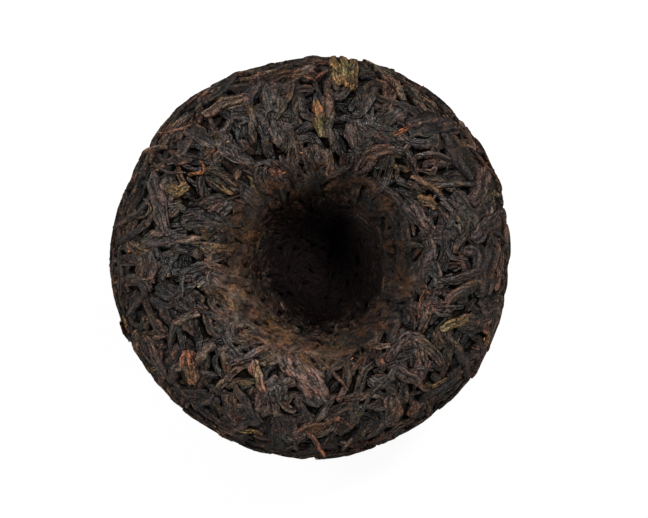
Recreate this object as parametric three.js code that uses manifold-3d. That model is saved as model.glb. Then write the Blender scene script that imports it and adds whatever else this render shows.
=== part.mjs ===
// A pressed tea nest: a dome of twisted dark tea leaves, with a deep hollow left by the knot of its pressing cloth.
// It lies on its dome with the hollow facing up. Millimetres, +Z up, origin at the centre of the spot it rests on.
import * as THREE from "three";
import { mergeVertices } from "three/addons/utils/BufferGeometryUtils.js";
import Module from "manifold-3d";

const wasm = await Module();
wasm.setup();

// Driving dimensions of the nest
const OUTER_RADIUS = 40;
const HEIGHT = 41.5;
const WIDEST_Z = 27.5;
const DOME_SAG = 0.75; // how far the round dome would reach below its resting spot
const CREST_RADIUS = 27.5; // the top of the rim
const LIP_Z = 33; // where the lip has turned into the hollow's wall
const MOUTH_RADIUS = 13.6;
const HOLLOW_FLOOR_Z = 13;
const HOLLOW_OFFSET = new THREE.Vector2(1.4, -0.9); // the hollow isn't quite central
const MOUTH_OVAL = 0.06; // the mouth is longer along Y by this share, and narrower along X

// Unevenness of the nest, as waves around it: share of the radius or millimetres of height, number, and phase
const OUTLINE_WAVES = [
  { size: 0.006, count: 3, phase: 0.9 },
  { size: 0.005, count: 5, phase: 2.3 },
  { size: 0.004, count: 9, phase: 4.1 },
];
const RIM_WAVES = [
  { size: 0.5, count: 2, phase: 0.4 },
  { size: 0.35, count: 5, phase: 1.7 },
];

// Creases that the gathered cloth pressed into the lip: direction, depth, and half width as an angle
const CREASES = [
  { angle: 0.9, depth: 2.6, spread: 0.17 },
  { angle: 2.35, depth: 1.3, spread: 0.12 },
  { angle: 3.5, depth: 0.8, spread: 0.14 },
  { angle: 4.9, depth: 0.8, spread: 0.13 },
  { angle: 5.75, depth: 1.0, spread: 0.15 },
];
const CREASE_START = 0.15; // depth of a crease at the crest, as a share of half a wave

// Leaves that show on the pressed surface
const LEAF_COUNT = 184;
const LEAF_LENGTH = { least: 10.5, most: 16.5 };
const LEAF_WIDTH = { least: 3, most: 4.8 };
const LEAF_THICKNESS = 1.9;
const LEAF_SINK = 0.1; // how far a leaf's middle lies below the core's surface
const LEAF_BEND = 0.075; // most turn of a leaf along its length, radians for each millimetre
const LEAF_SIDES = 3; // two sloping sides that meet in a ridge, and a flat underside
const LEAF_STEPS = 4;
const LEAF_BLUNTNESS = 0.65; // under 1 makes the tips of a leaf blunter
const CLEAR_OF_AXIS = 5; // leaves start at least this far from the axis
const POINT_INWARDS = 0.75; // how much the leaves at the mouth turn to point into the hollow
const SPREAD_STEPS = [0.7548776662, 0.569840291]; // fractions that never line up, for an even spread

// Facets of the core
const CORE_SECTORS = 30;
const CORE_RINGS = 18;
const CORE_LUMP = 0.3; // how far the core's facets stand in or out
const AREA_SAMPLES = 240;
const WALK_STEP = 0.8;
const SMALL_SHARE = 0.002; // step for measuring a direction on the surface
const LEAST_TURN_RADIUS = 2; // a walk never turns about the axis tighter than this
const WELD = 1e-4;

const TEA_COLOUR = 0x3a302a;

// A repeatable draw between 0 and 1
let drawState = 20261;
function draw() {
  drawState = (Math.imul(drawState, 1664525) + 1013904223) >>> 0;
  return drawState / 4294967296;
}

function between({ least, most }) {
  return least + (most - least) * draw();
}

// The half section: the dome, the outer shoulder, the lip and the hollow are four quarter ellipses
function nestProfile() {
  const quarter = Math.PI / 2;
  const path = new THREE.Path();
  path.absellipse(0, WIDEST_Z, OUTER_RADIUS, WIDEST_Z + DOME_SAG, -quarter, 0, false);
  path.absellipse(CREST_RADIUS, WIDEST_Z, OUTER_RADIUS - CREST_RADIUS, HEIGHT - WIDEST_Z, 0, quarter, false);
  path.absellipse(CREST_RADIUS, LIP_Z, CREST_RADIUS - MOUTH_RADIUS, HEIGHT - LIP_Z, quarter, 2 * quarter, false);
  path.absellipse(0, LIP_Z, MOUTH_RADIUS, LIP_Z - HOLLOW_FLOOR_Z, 0, -quarter, true);
  return path;
}

const profile = nestProfile();
const arcLengths = profile.curves.map((arc) => arc.getLength());
const profileLength = profile.getLength();
const crestShare = (arcLengths[0] + arcLengths[1]) / profileLength;
const mouthShare = crestShare + arcLengths[2] / profileLength;

function waves(list, angle) {
  return list.reduce((sum, { size, count, phase }) => sum + size * Math.cos(count * angle + phase), 0);
}

// How deep the creases are in a direction, for a place that lies part way from the crest to the mouth
function creaseDepth(angle, towardsMouth) {
  const fade = Math.sin(Math.PI * THREE.MathUtils.lerp(CREASE_START, 1, towardsMouth));
  return CREASES.reduce((sum, crease) => {
    const turn = Math.atan2(Math.sin(angle - crease.angle), Math.cos(angle - crease.angle));
    return sum + crease.depth * fade * Math.exp(-((turn / crease.spread) ** 2));
  }, 0);
}

// A point of the uneven nest, by its share of the way along the half section and its direction
function nestPoint(share, angle) {
  const { x: radius, y: z } = profile.getPointAt(THREE.MathUtils.clamp(share, 0, 1));
  const towardsMouth = THREE.MathUtils.clamp((share - crestShare) / (mouthShare - crestShare), 0, 1);
  const hollow = THREE.MathUtils.smoothstep(towardsMouth, 0, 1);
  const swell = 1 + (1 - hollow) * waves(OUTLINE_WAVES, angle);
  const onRim = THREE.MathUtils.smoothstep(z, WIDEST_Z, HEIGHT) * (1 - hollow);
  return new THREE.Vector3(
    radius * swell * Math.cos(angle) * (1 - MOUTH_OVAL * hollow) + HOLLOW_OFFSET.x * hollow,
    radius * swell * Math.sin(angle) * (1 + MOUTH_OVAL * hollow) + HOLLOW_OFFSET.y * hollow,
    z + onRim * waves(RIM_WAVES, angle) - (share > crestShare ? creaseDepth(angle, towardsMouth) : 0),
  );
}

// The directions along the half section, around the nest and outwards, at a point
function nestFrame(share, angle) {
  const along = nestPoint(share + SMALL_SHARE, angle).sub(nestPoint(share - SMALL_SHARE, angle)).normalize();
  const around = nestPoint(share, angle + SMALL_SHARE).sub(nestPoint(share, angle - SMALL_SHARE)).normalize();
  const out = new THREE.Vector3().crossVectors(around, along).normalize();
  return { along, around, out };
}

// A closed mesh as a solid that can be joined and cut
function solidOf(geometry) {
  geometry.deleteAttribute("normal");
  geometry.deleteAttribute("uv");
  const merged = mergeVertices(geometry, WELD);
  const corners = merged.index.array;
  const kept = [];
  for (let i = 0; i < corners.length; i += 3) {
    const [a, b, c] = corners.subarray(i, i + 3);
    if (a !== b && b !== c && c !== a) kept.push(a, b, c);
  }
  const triVerts = new Uint32Array(kept);
  const vertProperties = merged.attributes.position.array;
  const solid = new wasm.Manifold(new wasm.Mesh({ numProp: 3, vertProperties, triVerts }));
  if (solid.volume() > 0) return solid;
  return new wasm.Manifold(new wasm.Mesh({ numProp: 3, vertProperties, triVerts: triVerts.reverse() }));
}

// How far each corner of the core stands in or out, and which way
function coreLumps(ringCount) {
  return Array.from({ length: CORE_SECTORS }, (_, sector) =>
    Array.from({ length: ringCount }, (_, ring) => ({
      out: nestFrame(ring / CORE_RINGS, (2 * Math.PI * sector) / CORE_SECTORS).out,
      size: CORE_LUMP * (2 * draw() - 1),
    })),
  );
}

// The bare core: the half section turned about the axis, then made uneven
function coreSolid() {
  const geometry = new THREE.LatheGeometry(profile.getSpacedPoints(CORE_RINGS), CORE_SECTORS);
  const place = geometry.attributes.position;
  const ringCount = CORE_RINGS + 1;
  const lumps = coreLumps(ringCount);
  for (let i = 0; i < place.count; i++) {
    const ring = i % ringCount;
    const sector = Math.floor(i / ringCount) % CORE_SECTORS;
    const point = nestPoint(ring / CORE_RINGS, (2 * Math.PI * sector) / CORE_SECTORS);
    if (ring === 0 || ring === CORE_RINGS) point.copy(nestPoint(ring / CORE_RINGS, 0));
    else point.addScaledVector(lumps[sector][ring].out, lumps[sector][ring].size);
    place.setXYZ(i, point.x, point.y, point.z);
  }
  return solidOf(geometry);
}

// Shares of the way along the half section that split the nest's surface evenly
function evenShares() {
  const shares = [];
  const areas = [];
  let total = 0;
  for (let i = 0; i < AREA_SAMPLES; i++) {
    const share = (i + 0.5) / AREA_SAMPLES;
    const radius = profile.getPointAt(share).x;
    if (radius < CLEAR_OF_AXIS) continue;
    total += radius;
    shares.push(share);
    areas.push(total);
  }
  return (part) => shares[areas.findIndex((area) => area >= part * total)];
}

// A walk over the nest from a starting place: keeps straight on the surface, apart from the leaf's own bend
function walk(start, distance, bend) {
  const steps = Math.max(1, Math.ceil(Math.abs(distance) / WALK_STEP));
  const step = distance / steps;
  let { share, angle, heading } = start;
  for (let i = 0; i < steps; i++) {
    const here = THREE.MathUtils.clamp(share, 0, 1);
    const radius = Math.max(LEAST_TURN_RADIUS, profile.getPointAt(here).x);
    const slope = profile.getTangentAt(here).x;
    share += (Math.cos(heading) * step) / profileLength;
    angle += (Math.sin(heading) * step) / radius;
    heading += (bend - (Math.sin(heading) * slope) / radius) * step;
  }
  return { share, angle, heading };
}

// One leaf: a blunt spindle, bent over the nest and half pressed into it
function leafSolid(start, length, width, bend) {
  const ridgeUp = Math.PI / 2;
  const geometry = new THREE.SphereGeometry(1, LEAF_SIDES, LEAF_STEPS).rotateY(ridgeUp);
  const place = geometry.attributes.position;
  for (let i = 0; i < place.count; i++) {
    const [x, y, z] = [place.getX(i), place.getY(i), place.getZ(i)];
    const girth = Math.hypot(x, z);
    const fuller = girth > WELD ? girth ** LEAF_BLUNTNESS / girth : 0;
    const reach = Math.sign(y) * Math.abs(y) ** LEAF_BLUNTNESS;
    const { share, angle, heading } = walk(start, (reach * length) / 2, bend);
    const { along, around, out } = nestFrame(share, angle);
    const side = along.multiplyScalar(-Math.sin(heading)).addScaledVector(around, Math.cos(heading));
    const point = nestPoint(share, angle)
      .addScaledVector(side, (x * fuller * width) / 2)
      .addScaledVector(out, (z * fuller * LEAF_THICKNESS) / 2 - LEAF_SINK);
    place.setXYZ(i, point.x, point.y, point.z);
  }
  return solidOf(geometry);
}

// Leaves all over the nest, spread by a rule that leaves no gaps; near the mouth they point into the hollow
function leafSolids() {
  const shareAt = evenShares();
  const leaves = [];
  for (let i = 1; i <= LEAF_COUNT; i++) {
    const share = shareAt((i * SPREAD_STEPS[0]) % 1);
    const angle = 2 * Math.PI * ((i * SPREAD_STEPS[1]) % 1);
    const nearMouth = THREE.MathUtils.smoothstep(share, crestShare, mouthShare);
    const heading = Math.PI * (draw() - 0.5) * (1 - POINT_INWARDS * nearMouth);
    const bend = LEAF_BEND * (2 * draw() - 1);
    leaves.push(leafSolid({ share, angle, heading }, between(LEAF_LENGTH), between(LEAF_WIDTH), bend));
  }
  return leaves;
}

// What lies below the resting spot is cut away
function belowFloor() {
  const depth = 10;
  const across = 4 * OUTER_RADIUS;
  return solidOf(new THREE.BoxGeometry(across, across, depth).translate(0, 0, -depth / 2));
}

// The largest body alone, so that no loose scrap and no sealed pocket between leaves is kept
function largestBody(solid) {
  return solid.decompose().reduce((best, body) => (body.volume() > best.volume() ? body : best));
}

function geometryOf(solid) {
  const { numProp, vertProperties, triVerts } = solid.getMesh();
  const count = vertProperties.length / numProp;
  const position = new THREE.BufferAttribute(new Float32Array(count * 3), 3);
  for (let i = 0; i < count; i++) {
    position.setXYZ(i, ...vertProperties.subarray(i * numProp, i * numProp + 3));
  }
  const geometry = new THREE.BufferGeometry().setAttribute("position", position);
  geometry.setIndex(new THREE.BufferAttribute(triVerts, 1));
  return geometry;
}

// The pressed nest: core and leaves joined into one solid, centred over its resting spot
function pressedNest() {
  const joined = wasm.Manifold.union([coreSolid(), ...leafSolids()]);
  const geometry = geometryOf(largestBody(joined.subtract(belowFloor())));
  geometry.computeBoundingBox();
  const centre = geometry.boundingBox.getCenter(new THREE.Vector3());
  geometry.translate(-centre.x, -centre.y, 0);
  geometry.computeVertexNormals();
  const tea = new THREE.MeshStandardMaterial({ color: TEA_COLOUR, roughness: 0.75, metalness: 0 });
  const mesh = new THREE.Mesh(geometry, tea);
  mesh.name = "tuocha";
  return mesh;
}

const nest = new THREE.Group();
nest.add(pressedNest());

export default nest;
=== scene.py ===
import math

import bmesh
import bpy
import numpy as np
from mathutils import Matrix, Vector, noise


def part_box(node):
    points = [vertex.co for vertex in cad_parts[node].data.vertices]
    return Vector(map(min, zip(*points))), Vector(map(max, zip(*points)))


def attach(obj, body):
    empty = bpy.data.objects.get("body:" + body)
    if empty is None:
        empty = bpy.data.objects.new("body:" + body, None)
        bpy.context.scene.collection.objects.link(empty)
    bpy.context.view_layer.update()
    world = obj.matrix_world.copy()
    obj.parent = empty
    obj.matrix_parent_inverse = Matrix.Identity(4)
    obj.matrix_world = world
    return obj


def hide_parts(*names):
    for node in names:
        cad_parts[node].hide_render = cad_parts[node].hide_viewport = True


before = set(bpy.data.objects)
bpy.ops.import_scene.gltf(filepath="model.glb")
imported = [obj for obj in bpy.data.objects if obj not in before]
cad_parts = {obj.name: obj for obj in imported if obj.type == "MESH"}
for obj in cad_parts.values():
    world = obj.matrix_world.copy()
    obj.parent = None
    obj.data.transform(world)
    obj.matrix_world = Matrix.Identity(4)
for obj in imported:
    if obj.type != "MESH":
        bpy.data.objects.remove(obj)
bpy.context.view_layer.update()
cadNode = "tuocha"
mm = 0.001

# The nest's own form, from the box of the solid that it stands for. Sizes in mm, ways in radians.
boxLow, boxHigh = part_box(cadNode)
reach = (boxHigh.x - boxLow.x) / 2 / mm
tall = boxHigh.z / mm
nest = {
    "outerRadius": reach - 0.75,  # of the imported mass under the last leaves
    "height": tall - 1.55,
    "widestZ": 0.638 * tall,
    "domeSag": 0.75,  # how far the round dome would go below the table
    "crestRadius": 0.675 * reach,
    "lipZ": 0.766 * tall,
    "mouthRadius": 0.355 * reach,
    "floorZ": 0.302 * tall,
    "wellSlope": 1.25,  # over 1 the wall of the hollow starts more gently
    "hollowOffset": (1.2, -1.9),  # the mouth of the hollow, from the middle
    "hollowLean": (1.8, 0.2),  # its floor, from under the mouth
    "leanFrom": 2.0,  # how far before the mouth that lean starts
    "mouthOval": 0.05,
    "funnel": (0.35, 2.0),  # the lip falls away more gently on this side, by this much
    "outlineWaves": [(0.0078, 2, -1.94), (0.0075, 3, -2.86), (0.0045, 5, 2.0),
                     (0.0035, 6, -1.55), (0.0035, 7, -2.76)],  # size, count and phase
    "rimWaves": [(0.5, 2, 0.4), (0.35, 5, 1.7)],
    "creases": [(1.15, 3.3, 0.17, 0.80), (0.85, 1.2, 0.14, 0.35), (2.35, 1.3, 0.12, 0.45),
                (3.5, 0.8, 0.14, 0.4), (4.9, 0.8, 0.13, 0.4),
                (5.75, 1.0, 0.15, 0.45)],  # way, depth, spread, and how far down the lip
    "creaseLong": 0.28,
    "creaseStart": 0.3,
    "skin": 0.62,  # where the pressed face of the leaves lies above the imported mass
    "tableGap": 0.03,
}
rng = np.random.default_rng(409)


# The half section: four quarter ellipses, from the crown of the dome to the floor of the hollow
def profileTable(steps=220):
    n = nest
    t = np.linspace(0, math.pi / 2, steps)
    dome = (n["outerRadius"] * np.sin(t),
            n["widestZ"] - (n["widestZ"] + n["domeSag"]) * np.cos(t))
    shoulder = (n["crestRadius"] + (n["outerRadius"] - n["crestRadius"]) * np.cos(t),
                n["widestZ"] + (n["height"] - n["widestZ"]) * np.sin(t))
    lip = (n["crestRadius"] - (n["crestRadius"] - n["mouthRadius"]) * np.sin(t),
           n["lipZ"] + (n["height"] - n["lipZ"]) * np.cos(t))
    well = (n["mouthRadius"] * np.cos(t),
            n["lipZ"] - (n["lipZ"] - n["floorZ"]) * np.sin(t) ** n["wellSlope"])
    arcs = (dome, shoulder, lip, well)
    r = np.concatenate([arc[0][min(i, 1):] for i, arc in enumerate(arcs)])
    z = np.concatenate([arc[1][min(i, 1):] for i, arc in enumerate(arcs)])
    s = np.concatenate([[0], np.cumsum(np.hypot(np.diff(r), np.diff(z)))])
    slope = np.gradient(r, s)
    marks = s[[steps - 1, 2 * steps - 2, 3 * steps - 3]]
    return {"s": s, "r": r, "z": z, "outR": np.gradient(z, s), "outZ": -slope, "slope": slope,
            "widest": marks[0], "crest": marks[1], "mouth": marks[2], "end": s[-1]}


prof = profileTable()
widestAt, crestAt, mouthAt, endAt = (prof[key] for key in ("widest", "crest", "mouth", "end"))


def onProfile(name, s):
    return np.interp(s, prof["s"], prof[name])


def ease(x, low, high):
    t = np.clip((x - low) / (high - low), 0, 1)
    return t * t * (3 - 2 * t)


def waves(rows, angle):
    return sum(size * np.cos(count * angle + phase) for size, count, phase in rows)


# Past the crown of the dome, or the middle of the hollow's floor, the way goes on down the other side
def wrapped(s, angle):
    angle = np.where(s < 0, angle + math.pi, angle)
    s = np.abs(s)
    angle = np.where(s > endAt, angle + math.pi, angle)
    s = np.where(s > endAt, 2 * endAt - s, s)
    return s, angle


# A place on the uneven nest: s runs along the half section, angle round the axis, lift is out from the mass
def nestPoint(s, angle, lift):
    n = nest
    s, angle = wrapped(s, angle)
    r = onProfile("r", s) + lift * onProfile("outR", s)
    z = onProfile("z", s) + lift * onProfile("outZ", s)
    towards = np.clip((s - crestAt) / (mouthAt - crestAt), 0, 1)
    hollow = ease(towards, 0, 1)
    swell = 1 + (1 - hollow) * waves(n["outlineWaves"], angle)
    onRim = ease(onProfile("z", s), n["widestZ"], n["height"]) * (1 - hollow)
    crease = 0
    for way, depth, spread, at in n["creases"]:
        turn = np.arctan2(np.sin(angle - way), np.cos(angle - way))
        fade = np.exp(-((towards - at) / n["creaseLong"]) ** 2) * ease(towards, 0, n["creaseStart"])
        crease = crease + depth * fade * np.exp(-((turn / spread) ** 2))
    x = r * swell * np.cos(angle) * (1 - n["mouthOval"] * hollow) + n["hollowOffset"][0] * hollow
    y = r * swell * np.sin(angle) * (1 + n["mouthOval"] * hollow) + n["hollowOffset"][1] * hollow
    z = z + onRim * waves(n["rimWaves"], angle) - crease
    way, size = n["funnel"]
    slack = size * np.sin(math.pi * towards) * np.clip(np.cos(angle - way), 0, 1)
    lean = ease(s, mouthAt - n["leanFrom"], endAt)
    x = x + n["hollowLean"][0] * lean + slack * np.cos(way)
    y = y + n["hollowLean"][1] * lean + slack * np.sin(way)
    return np.stack([x, y, np.maximum(z, n["tableGap"])], -1)


print("nest profile", round(endAt, 1), "mm long")

# The photograph's camera looks straight down into the hollow
view = {
    "lens": 100.0, "sensor": 36.0,
    "photoWide": 648, "photoTall": 518,
    "outlineCentre": (312.0, 256.6),  # pixels of the photograph
    "outlineAcross": 401.0,
}
focal = view["lens"] / view["sensor"] * view["photoWide"]
camHeight = nest["widestZ"] + focal * 2 * reach / view["outlineAcross"]
camX = (view["photoWide"] / 2 - view["outlineCentre"][0]) * (camHeight - nest["widestZ"]) / focal
camY = (view["outlineCentre"][1] - view["photoTall"] / 2) * (camHeight - nest["widestZ"]) / focal
camData = bpy.data.cameras.new("photoCamera")
camData.lens = view["lens"]
camData.sensor_width = view["sensor"]
camera = bpy.data.objects.new("photoCamera", camData)
camera.location = (camX * mm, camY * mm, camHeight * mm)
bpy.context.scene.collection.objects.link(camera)
bpy.context.scene.camera = camera
print("camera", round(camHeight), "mm up")


# Where a pixel of the photograph lies on the rim or the lip, as s and angle
def fromPhoto(px, py, rounds=6):
    first = int(np.searchsorted(prof["s"], widestAt))
    last = int(np.searchsorted(prof["s"], mouthAt))
    rims = prof["r"][first:last][::-1]
    spots = prof["s"][first:last][::-1]
    z = nest["height"]
    hollow = 0.0
    for _ in range(rounds):
        x = camX + (px - view["photoWide"] / 2) * (camHeight - z) / focal - nest["hollowOffset"][0] * hollow
        y = camY - (py - view["photoTall"] / 2) * (camHeight - z) / focal - nest["hollowOffset"][1] * hollow
        s = np.interp(np.hypot(x, y), rims, spots)
        z = onProfile("z", s)
        hollow = ease((s - crestAt) / (mouthAt - crestAt), 0, 1)
    return s, np.arctan2(y, x)


# Kinds of leaf. Ranges in mm, bend in radians for each mm, share of the leaves that are strewn first and of
# those that fill the gaps. Then the section: points over the top, ribs across it and their depth in mm,
# how flat it is, and how many stations lie between its rings where they aren't the usual ones.
strip = {"length": (5.5, 12), "width": (1.8, 3.4), "thick": (0.75, 1.05), "bend": 0.09,
         "over": 9, "ribs": 1.3, "pleat": 0.11, "flat": 5.0}
kinds = {
    "darkStrip": {**strip, "share": 0.21, "fill": 0.20},
    "brownStrip": {**strip, "share": 0.20, "fill": 0.19},
    "wiryTwist": {"length": (5, 12), "width": (1.1, 1.8), "thick": (0.8, 1.05), "bend": 0.2,
                  "share": 0.11, "fill": 0.13, "over": 6, "ribs": 1.0, "pleat": 0.10, "flat": 3.0},
    "curledLeaf": {"length": (4.5, 9), "width": (1.5, 2.6), "thick": (0.8, 1.05), "bend": 0.24,
                   "share": 0.16, "fill": 0.16, "over": 8, "ribs": 1.2, "pleat": 0.11, "flat": 4.0},
    "broadLeaf": {"length": (5.5, 11), "width": (3.4, 5.8), "thick": (0.6, 0.85), "bend": 0.05,
                  "share": 0.22, "fill": 0.13, "over": 15, "ribs": 2.2, "pleat": 0.12, "flat": 7.0},
    "goldTip": {"length": (3.5, 7), "width": (1.3, 2.2), "thick": (0.7, 0.95), "bend": 0.12,
                "share": 0.05, "fill": 0.05, "over": 9, "ribs": 2.4, "pleat": 0.13, "flat": 4.0},
    "stalk": {"length": (6, 12), "width": (0.7, 1.0), "thick": (0.7, 0.9), "bend": 0.08,
              "share": 0.03, "fill": 0.03, "over": 5, "ribs": 0.8, "pleat": 0.05, "flat": 2.4},
    "flake": {"length": (1.8, 4.4), "width": (1.0, 2.4), "thick": (0.5, 0.8), "bend": 0.15,
              "share": 0.02, "fill": 0.11, "over": 6, "ribs": 1.2, "pleat": 0.12, "flat": 4.5, "every": 4},
}
kindNames = list(kinds)
strew = {
    "batches": 14, "batchSize": 420,
    "freeBatches": 7,  # strewn evenly; the rest drop into the lowest of a few places
    "evenSteps": (0.7548776662, 0.569840291),  # along and round, so that no two come close
    "tries": 7,
    "stations": 25, "across": 7,  # places along and across a leaf where it rests
    "smallMore": 1.25,  # over 1 there are more small leaves than large ones
    "tone": (0.14, 0.56),  # least, and how far it goes up
    "hookShare": 0.28, "hookBend": 0.30,
    "kinkShare": 0.45, "kinkTurn": 0.8,  # leaves with one sharp fold
    "flowSize": 11.0, "flowTurn": 2.6, "flowStray": 0.5,  # leaves within about this size lie alike
    "lipShare": 0.45, "lipStray": 0.35,  # leaves that run over the lip
    "inwardWay": 1.75, "inwardShare": 0.5, "inwardStray": 0.3,  # at the picture's top, in to the mouth
    "sideShare": 0.45, "sideStray": 0.4, "sideMiddle": 3, "sideReach": 8,  # round the side of the nest
    "mouthSmall": 0.12,  # how much smaller leaves are at the mouth
    "axisNear": 2.0, "axisAside": 1.5,  # nearer than this the axis counts as this far
    "cell": 0.5, "leastCells": 6,
    "hug": 0.72,  # how far a leaf sinks between what lies under it
    "stiffSpan": 2.4, "stiffRuns": 2, "crownFlat": 2.6,
    "seenWithin": 0.06, "leastShown": 0.045, "shownLift": 0.25,
}


def ofKind(key):
    return np.array([kinds[k][key] for k in kindNames])


# Some leaves, by chance, take a way of their own
def someTurn(heading, chance, way, stray):
    count = len(heading)
    return np.where(rng.random(count) < chance, way + stray * rng.normal(size=count), heading)


def drawHeadings(s, angle):
    spots = nestPoint(s, angle, 0 * s) / strew["flowSize"]
    flow = np.array([noise.noise(Vector(p)) for p in spots]) * strew["flowTurn"] * math.pi
    heading = flow + strew["flowStray"] * rng.normal(size=len(s))
    atLip = ease(s, crestAt + 2, mouthAt - 1)
    atLip = atLip * (1 - ease(s, mouthAt + 6, mouthAt + 16))
    heading = someTurn(heading, strew["lipShare"] * atLip, 0, strew["lipStray"])
    inward = ease(np.cos(angle - strew["inwardWay"]), 0.5, 0.95)
    inward = inward * ease(s, widestAt + 4, crestAt)
    heading = someTurn(heading, strew["inwardShare"] * inward, 0, strew["inwardStray"])
    onSide = np.abs(s - widestAt - strew["sideMiddle"]) < strew["sideReach"]
    return someTurn(heading, strew["sideShare"] * onSide, math.pi / 2, strew["sideStray"])


def drawLeaves(s, angle, share):
    count = len(s)
    kind = rng.choice(len(kindNames), count, p=ofKind(share))
    pick = {}
    for key in ("length", "width", "thick"):
        low, high = ofKind(key)[kind].T
        pick[key] = low + (high - low) * rng.random(count) ** strew["smallMore"]
    heading = drawHeadings(s, angle)
    small = 1 - strew["mouthSmall"] * ease(s, crestAt + 6, mouthAt + 2)
    pick["length"] = pick["length"] * small
    pick["width"] = pick["width"] * small
    bend = ofKind("bend")[kind] * rng.normal(size=count)
    hook = someTurn(0 * s, strew["hookShare"], 0, strew["hookBend"])
    kink = someTurn(0 * s, strew["kinkShare"], 0, strew["kinkTurn"])
    kinkAt = rng.integers(2, strew["stations"] // 2 - 1, count) * rng.choice((-1, 1), count)
    dullest, span = strew["tone"]
    tone = dullest + span * ease(rng.random(count), 0.05, 0.95)
    return {"kind": kind, "tone": tone, "s": s, "angle": angle, "heading": heading,
            "bend": bend, "hook": hook, "kink": kink, "kinkAt": kinkAt, **pick}


# Each leaf's middle line: a straight walk over the nest, turned by its bend, its fold and a hook at one end
def walkLines(leaves):
    stations = strew["stations"]
    half = stations // 2
    line = np.zeros((3, len(leaves["s"]), stations))
    step = leaves["length"] / (stations - 1)
    for way in (1, -1):
        s = leaves["s"].copy()
        angle = leaves["angle"].copy()
        heading = leaves["heading"].copy()
        line[:, :, half] = s, angle, heading
        for k in range(1, half + 1):
            radius = np.maximum(onProfile("r", np.clip(s, 0, endAt)), strew["axisNear"])
            slope = onProfile("slope", np.clip(s, 0, endAt))
            s = s + way * np.cos(heading) * step
            angle = angle + way * np.sin(heading) * step / radius
            turn = leaves["bend"] + (leaves["hook"] * (k / half) ** 2 * 2 if way > 0 else 0)
            fold = np.where(leaves["kinkAt"] == way * k, leaves["kink"], 0)
            heading = heading + way * (turn - np.sin(heading) * slope / radius) * step + fold
            line[:, :, half + way * k] = s, angle, heading
    return line


# Leaves that stand out in the photograph: kind, tone from 0 to 1, width in pixels, and pixels along it
shown = [
    ("goldTip", 0.75, 12, (333, 58), (335, 72), (340, 88)),
    ("goldTip", 0.50, 12, (350, 58), (353, 74), (351, 94)),
    ("goldTip", 0.65, 12, (342, 57), (344, 73), (346, 91)),
    ("brownStrip", 0.85, 13, (363, 66), (384, 82), (403, 104)),
    ("goldTip", 0.60, 14, (316, 100), (318, 120), (318, 138)),
    ("brownStrip", 0.35, 8, (292, 84), (287, 100), (275, 117)),
    ("darkStrip", 0.45, 11, (236, 76), (221, 93), (203, 105)),
    ("brownStrip", 0.80, 15, (205, 117), (222, 106), (243, 99)),
    ("brownStrip", 0.70, 8, (138, 160), (148, 151), (168, 148)),
    ("goldTip", 0.95, 5, (191, 173), (203, 170), (199, 160)),
    ("goldTip", 0.75, 15, (166, 187), (176, 190), (187, 184)),
    ("broadLeaf", 0.45, 19, (152, 172), (158, 200), (168, 236)),
    ("darkStrip", 0.60, 10, (117, 229), (130, 220), (145, 212)),
    ("darkStrip", 0.50, 9, (121, 243), (134, 236), (147, 227)),
    ("broadLeaf", 0.30, 25, (180, 222), (198, 220), (216, 224)),
    ("goldTip", 0.90, 11, (236, 240), (250, 236), (263, 237)),
    ("broadLeaf", 0.97, 20, (186, 350), (190, 366), (194, 384)),
    ("broadLeaf", 0.92, 13, (252, 360), (257, 375), (264, 392)),
    ("broadLeaf", 0.40, 12, (228, 366), (246, 357), (267, 345)),
    ("broadLeaf", 0.55, 32, (292, 354), (308, 376), (324, 402)),
    ("stalk", 0.55, 6, (321, 359), (334, 372), (348, 390)),
    ("stalk", 0.90, 7, (307, 427), (314, 436), (324, 452)),
    ("stalk", 0.80, 6, (320, 427), (336, 417), (351, 425)),
    ("wiryTwist", 0.55, 9, (414, 158), (428, 156), (447, 162)),
    ("wiryTwist", 0.50, 9, (414, 158), (410, 170), (416, 183)),
    ("wiryTwist", 0.60, 10, (418, 182), (444, 185), (474, 184)),
    ("darkStrip", 0.55, 7, (394, 171), (392, 182), (406, 188)),
    ("brownStrip", 0.75, 12, (405, 180), (422, 186), (442, 196)),
    ("goldTip", 0.55, 14, (411, 204), (421, 203), (432, 208)),
    ("darkStrip", 0.55, 7, (438, 203), (452, 216), (441, 233)),
    ("broadLeaf", 0.35, 20, (471, 238), (483, 230), (494, 214)),
    ("darkStrip", 0.45, 12, (436, 284), (456, 280), (481, 271)),
    ("stalk", 0.95, 6, (417, 319), (416, 306), (424, 291)),
    ("goldTip", 0.70, 13, (440, 330), (453, 324), (467, 320)),
    ("broadLeaf", 0.60, 16, (386, 362), (412, 338), (440, 364)),
    ("goldTip", 1.00, 5, (391, 138), (398, 134), (407, 131)),
    ("broadLeaf", 0.10, 27, (406, 133), (424, 128), (446, 126)),
    ("brownStrip", 0.60, 10, (252, 108), (252, 124), (254, 142)),
    ("darkStrip", 0.50, 10, (372, 92), (366, 110), (352, 118)),
    ("broadLeaf", 0.55, 18, (352, 176), (366, 160), (392, 150)),
    ("darkStrip", 0.60, 11, (210, 272), (230, 280), (246, 282)),
    ("brownStrip", 0.75, 12, (176, 322), (186, 318), (198, 312)),
    ("darkStrip", 0.40, 12, (236, 385), (246, 402), (262, 420)),
]


def through(a, b, c, t):
    return a * (1 - t) * (1 - 2 * t) + b * 4 * t * (1 - t) + c * t * (2 * t - 1)


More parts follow.
